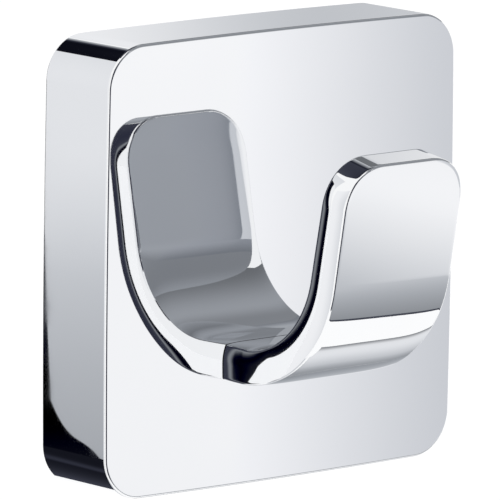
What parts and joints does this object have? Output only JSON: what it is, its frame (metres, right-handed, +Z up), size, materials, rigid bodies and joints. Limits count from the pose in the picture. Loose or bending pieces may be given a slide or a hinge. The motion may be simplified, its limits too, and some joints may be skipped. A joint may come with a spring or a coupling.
{
  "type": "towel hook",
  "caption": "Square chrome wall base with an upward-curving strap hook for a towel or robe, on a hidden dovetail bracket.",
  "frame": {"origin": "middle of the square base, on the wall plane", "axes": "+X across the base to the right as seen from the room, +Y into the wall, +Z up"},
  "size_m": [0.048, 0.0301, 0.048],
  "materials": {
    "polished_chrome": "mirror-polished chrome plate",
    "zinc_plate": "dull zinc-plated steel",
    "stainless_screw": "machined stainless steel"
  },
  "bodies": {
    "root": {"base_cover": "polished_chrome", "hook": "polished_chrome", "wall_bracket": "zinc_plate", "grub_screw": "stainless_screw"}
  },
  "joints": []
}
